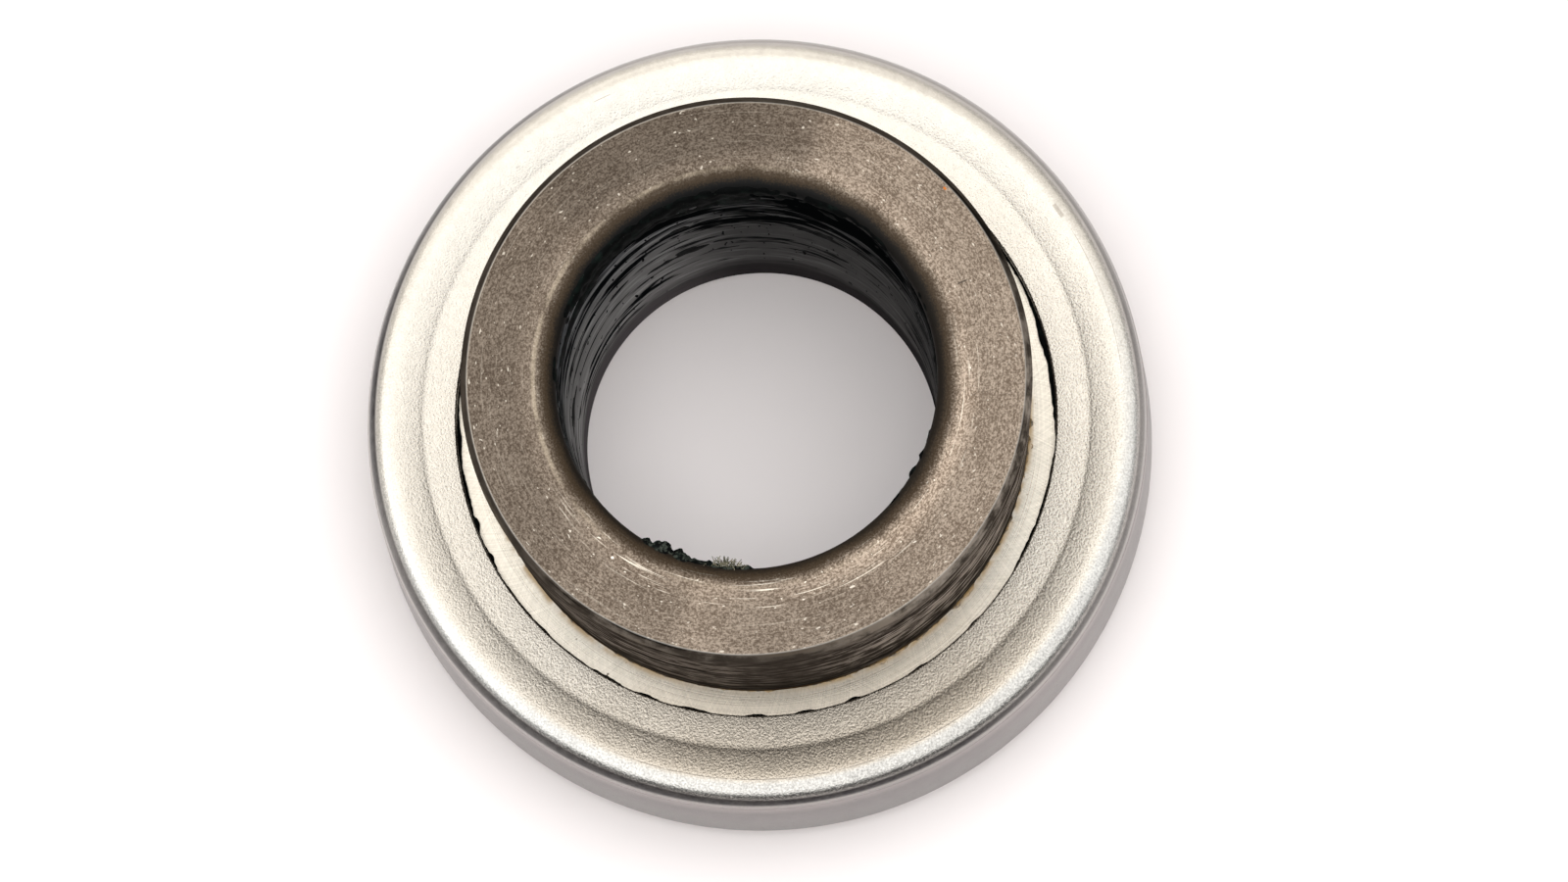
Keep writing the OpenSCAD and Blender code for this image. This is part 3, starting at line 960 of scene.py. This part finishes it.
class BEARING_OT_bore_grease(bpy.types.Operator):
    """Knead the black grease that clings to the bore and hangs over its mouth"""

    bl_idname = "bearing.bore_grease"
    bl_label = "Bore grease"

    def execute(self, context):
        hub, dirt = context.scene.bearing.hub, context.scene.bearing.dirt
        low, mouth_z = hub.front + dirt.bore_start, hub.top - hub.mouth
        rows = round((mouth_z - low) / dirt.row)
        centre = (hub.bore + hub.mouth, mouth_z)
        wall = [(hub.bore, low + (mouth_z - low) * k / rows) for k in range(rows)]
        wall += arc(centre, hub.mouth, 180, 105, 9)
        back = [(hub.bore + hub.mouth, wall[-1][1] - MM * 0.3), (hub.bore + hub.mouth, low)]
        piece = turn("bore_grease_black", [*wall, *back], 480)

        def lift(az, z):
            """Thickness of the grease over the wall, below nothing where the wall is bare."""
            top = smooth(z, hub.top - 0.0095, hub.top - 0.0030)
            end = smooth(z, hub.top - 0.0004, hub.top - 0.0011)
            start = smooth(z, low, low + 0.003)
            far = 0.5 + 0.5 * math.cos(az - math.radians(95))
            wide = swirl(az, z, 0.50, 0.0030, 1)
            thin = swirl(az, z, 0.20, 0.0013, 2)
            lumpy = swirl(az, z, 0.050, 0.0011, 3)
            crumb = swirl(az, z, 0.022, 0.0006, 8)
            coat = -0.13 + 0.24 * wide + 0.16 * thin + (0.05 + 0.16 * top) * lumpy
            coat += top * (0.33 * far * far - 0.06)
            for degrees, half, depth, reach, thick in LUMPS:
                off_side, off_height = apart(az, degrees) / half, (hub.top - depth - z) / reach
                near = max(0.0, 1 - off_side**2 * 0.8 - off_height**2) ** 0.6
                coat += thick * near * (1 + 0.35 * lumpy + 0.25 * thin + 0.45 * crumb)
            return (coat * start * end - 0.2 * (2 - start - end)) * MM

        for vertex, r, az in around(piece):
            x, y, z = vertex.co
            if z < mouth_z and r < hub.bore + MM * 0.01:
                out = Vector((-x / r, -y / r, 0))
            elif z >= mouth_z and abs(math.hypot(r - centre[0], z - centre[1]) - hub.mouth) < MM * 0.01:
                turn_in = (r - centre[0]) / hub.mouth
                out = Vector((x / r * turn_in, y / r * turn_in, (z - centre[1]) / hub.mouth))
            else:
                continue
            vertex.co += out * lift(az, z)
        bpy.ops.object.shade_smooth()
        paint(piece, grease_finish(hub))
        seat(piece, "hub", "hub_steel")
        return {"FINISHED"}


class BEARING_OT_gap_grease(bpy.types.Operator):
    """Knead the grease line squeezed out between the inner race and the shell's lip"""

    bl_idname = "bearing.gap_grease"
    bl_label = "Gap grease"

    def execute(self, context):
        race, shell = context.scene.bearing.race, context.scene.bearing.shell
        inner, outer, low = shell.lip - MM * 0.30, shell.lip + MM * 0.45, race.face - MM * 0.1
        high = shell.under - MM * 0.25
        front = [(inner, low), *arc((inner + MM * 0.3, high - MM * 0.3), MM * 0.3, 180, 90, 6)]
        piece = turn("gap_grease_black", [*front, (outer, high), (outer, low)], 720)
        for vertex, r, az in around(piece):
            x, y, z = vertex.co
            if r > outer - MM * 0.05:
                continue
            near = 0.5 - 0.5 * math.sin(az)
            push = 0.16 * swirl(az, z, 0.10, 0.01, 4) + 0.12 * swirl(az, z, 0.02, 0.0006, 5)
            push += 0.30 * near**2 + 0.16 * smooth(math.degrees(az) % 360, 245, 262) * near
            push += 0.12 * math.cos(az) ** 2
            for degrees, half, depth in GAP_LUMPS:
                push -= depth * max(0.0, 1 - (apart(az, degrees) / half) ** 2)
            spot = max(r + push * MM, inner - MM * 0.45) / r
            vertex.co.x, vertex.co.y = x * spot, y * spot
            if z > race.face + MM * 0.1:
                vertex.co.z -= MM * min(0.45, max(0.0, push * 0.6 + 0.1))
        bpy.ops.object.shade_smooth()
        paint(piece, grease_finish(context.scene.bearing.hub))
        seat(piece, "hub", "race_steel")
        return {"FINISHED"}


class BEARING_OT_foot_grime(bpy.types.Operator):
    """Lay the amber grime in the corner at the hub's foot, with its curls and beads"""

    bl_idname = "bearing.foot_grime"
    bl_label = "Foot grime"

    def execute(self, context):
        hub, race = context.scene.bearing.hub, context.scene.bearing.race
        r, z = hub.radius, race.face
        piece = turn("foot_grime_amber", [(r + out * MM, z + up * MM) for out, up in GRIME], 540)
        for vertex, spot, az in around(piece):
            x, y, height = vertex.co
            if spot < r:
                continue
            side = smooth(math.cos(az - math.radians(322)), 0.5, 0.9)
            ragged = (0.7 + side) * swirl(az, 0, 0.04, 1, 6) + 0.4 * swirl(az, 0, 0.010, 1, 7)
            grow = max(0.12 + 0.35 * side + ragged, -0.2)
            new = r + (spot - r) * grow
            vertex.co.x, vertex.co.y = x * new / spot, y * new / spot
            if height > z:
                vertex.co.z = z + (height - z) * max(0.0, grow)
        bpy.ops.object.shade_smooth()
        paint(piece, amber_finish(race))
        seat(piece, "hub", "race_steel")

        draw = random.Random(11)
        for index, (degrees, spot, sweep, ring, thick) in enumerate(CURLS, 1):
            az, spot, thick = math.radians(degrees), spot * MM, thick * MM
            curl = self.curl(f"amber_curl_{index}", ring * MM, thick, math.radians(sweep))
            heading = Matrix.Rotation(draw.uniform(0, math.tau), 4, "Z")
            heading = heading @ Matrix.Rotation(draw.uniform(-0.2, 0.2), 4, "X")
            place = Matrix.Translation((spot * math.cos(az), spot * math.sin(az), z + thick * 0.8))
            curl.data.transform(place @ heading)
            paint(curl, amber_finish(race))
            seat(curl, "hub", "race_steel")
        return {"FINISHED"}

    def curl(self, name, ring, thick, sweep):
        """A short bent bead: a small circle swept round part of a ring, with pinched ends."""
        bpy.ops.object.select_all(action="DESELECT")
        bpy.ops.mesh.primitive_circle_add(
            vertices=10, radius=thick, fill_type="NGON", location=(ring, 0, 0), rotation=(math.pi / 2, 0, 0)
        )
        piece = bpy.context.active_object
        piece.name = piece.data.name = name
        bpy.ops.object.transform_apply(location=True, rotation=True, scale=True)
        bpy.ops.object.mode_set(mode="EDIT")
        spin(18, sweep)
        middle = sweep / 2
        for vertex in piece.data.vertices:
            x, y, z = vertex.co
            az = math.atan2(y, x) % math.tau
            pinch = max(0.15, 1 - abs(az - middle) / middle * 0.85) ** 0.5 if az < sweep + 0.2 else 0.15
            new = ring + (math.hypot(x, y) - ring) * pinch
            vertex.co = (new * math.cos(az), new * math.sin(az), z * pinch)
        bpy.ops.object.shade_smooth()
        return piece


class BEARING_OT_mouth_lint(bpy.types.Operator):
    """Tangle the lint that is caught in the grease at the bore's mouth"""

    bl_idname = "bearing.mouth_lint"
    bl_label = "Mouth lint"

    def execute(self, context):
        hub, dirt = context.scene.bearing.hub, context.scene.bearing.dirt
        draw = random.Random(5)
        curve = bpy.data.curves.new("mouth_lint", "CURVE")
        curve.dimensions = "3D"
        curve.bevel_depth, curve.bevel_resolution = dirt.fibre, 0
        for _ in range(dirt.fibres):
            az = math.radians(draw.gauss(251.5, 2.3))
            spot = Vector((math.cos(az), math.sin(az), 0)) * (hub.bore + MM * draw.uniform(-0.45, 0.35))
            spot.z = hub.top - MM * draw.uniform(1.0, 1.9)
            heading = Vector((-math.cos(az), -math.sin(az), draw.uniform(-0.4, 0.8)))
            heading += Vector((draw.uniform(-1, 1), draw.uniform(-1, 1), draw.uniform(-0.5, 0.5)))
            path = [spot]
            for _ in range(6):
                heading += Vector((draw.uniform(-1, 1), draw.uniform(-1, 1), draw.uniform(-1, 1))) * 0.8
                spot = spot + heading.normalized() * MM * draw.uniform(0.07, 0.15)
                path.append(spot)
            spline = curve.splines.new("POLY")
            spline.points.add(len(path) - 1)
            for point, place in zip(spline.points, path):
                point.co = (*place, 1)
        bpy.ops.object.select_all(action="DESELECT")
        piece = bpy.data.objects.new("mouth_lint", curve)
        context.collection.objects.link(piece)
        piece.select_set(True)
        context.view_layer.objects.active = piece
        bpy.ops.object.convert(target="MESH")
        piece = context.active_object
        piece.name = piece.data.name = "mouth_lint"
        paint(piece, fibre_finish())
        seat(piece, "hub", "hub_steel")
        return {"FINISHED"}


class BEARING_OT_stage(bpy.types.Operator):
    """Set the pale floor, the soft light and the camera"""

    bl_idname = "bearing.stage"
    bl_label = "Stage"

    def execute(self, context):
        stage = context.scene.bearing.stage
        bpy.ops.object.select_all(action="DESELECT")
        bpy.ops.mesh.primitive_plane_add(size=6)
        floor = context.active_object
        floor.name = "table"
        f = Finish("pale_table")
        f.colour = f.scale(stage.floor, 0.985 + f.noise(f.place, 60, 3, 0.5) * 0.03)
        paint(floor, f.surface({"Roughness": 0.7, "Specular IOR Level": 0.2}))

        for name, place, width, power in LAMPS:
            bpy.ops.object.light_add(type="AREA", location=place)
            lamp = context.active_object
            lamp.name = name
            lamp.data.shape = "DISK"
            lamp.data.size = width
            lamp.data.energy = power
            lamp.visible_glossy = False

        # A dark card on the near side, seen only in the metal's reflections
        bpy.ops.mesh.primitive_plane_add(size=1, location=(0, -0.24, 0.042), rotation=(math.pi / 2, 0, 0))
        card = context.active_object
        card.name = "black_card"
        card.scale = (0.6, 0.084, 1)
        card.visible_camera = card.visible_diffuse = card.visible_shadow = False
        f = Finish("black_felt")
        f.colour = f.scale((0.01, 0.01, 0.01), 0.8 + f.noise(f.place, 200) * 0.4)
        paint(card, f.surface({"Roughness": 0.9}))

        context.scene.world = bpy.data.worlds.new("tent")
        light_tent(context.scene.world, stage)
        context.scene.view_settings.view_transform = "Standard"

        bpy.ops.object.camera_add(location=stage.eye)
        camera = context.active_object
        camera.name = "photo_camera"
        camera.rotation_mode = "QUATERNION"
        tilt = Matrix.Rotation(stage.tilt, 3, "X")
        camera.rotation_quaternion = (tilt @ Matrix.Rotation(-stage.roll, 3, "Z")).to_quaternion()
        camera.data.lens = stage.lens
        camera.data.clip_start, camera.data.clip_end = 0.01, 20
        context.scene.camera = camera
        return {"FINISHED"}


OPERATORS = (
    BEARING_OT_hub_sleeve,
    BEARING_OT_inner_race,
    BEARING_OT_cover_shell,
    BEARING_OT_outer_race,
    BEARING_OT_front_shield,
    BEARING_OT_ball_set,
    BEARING_OT_bore_grease,
    BEARING_OT_gap_grease,
    BEARING_OT_foot_grime,
    BEARING_OT_mouth_lint,
    BEARING_OT_stage,
)


class BEARING_PT_sidebar(bpy.types.Panel):
    """Lists the bearing's pieces"""

    bl_label = "Release bearing"
    bl_space_type = "VIEW_3D"
    bl_region_type = "UI"
    bl_category = "Bearing"

    def draw(self, context):
        for operator in OPERATORS:
            self.layout.operator(operator.bl_idname)


CLASSES = (
    HubProps, RaceProps, ShellProps, DirtProps, StageProps, BearingProps, *OPERATORS, BEARING_PT_sidebar
)


def register():
    for cls in CLASSES:
        bpy.utils.register_class(cls)
    bpy.types.Scene.bearing = PointerProperty(type=BearingProps)


def unregister():
    del bpy.types.Scene.bearing
    for cls in reversed(CLASSES):
        bpy.utils.unregister_class(cls)


def main():
    register()
    for operator in OPERATORS:
        group, name = operator.bl_idname.split(".")
        getattr(getattr(bpy.ops, group), name)()


if __name__ == "__main__":
    main()
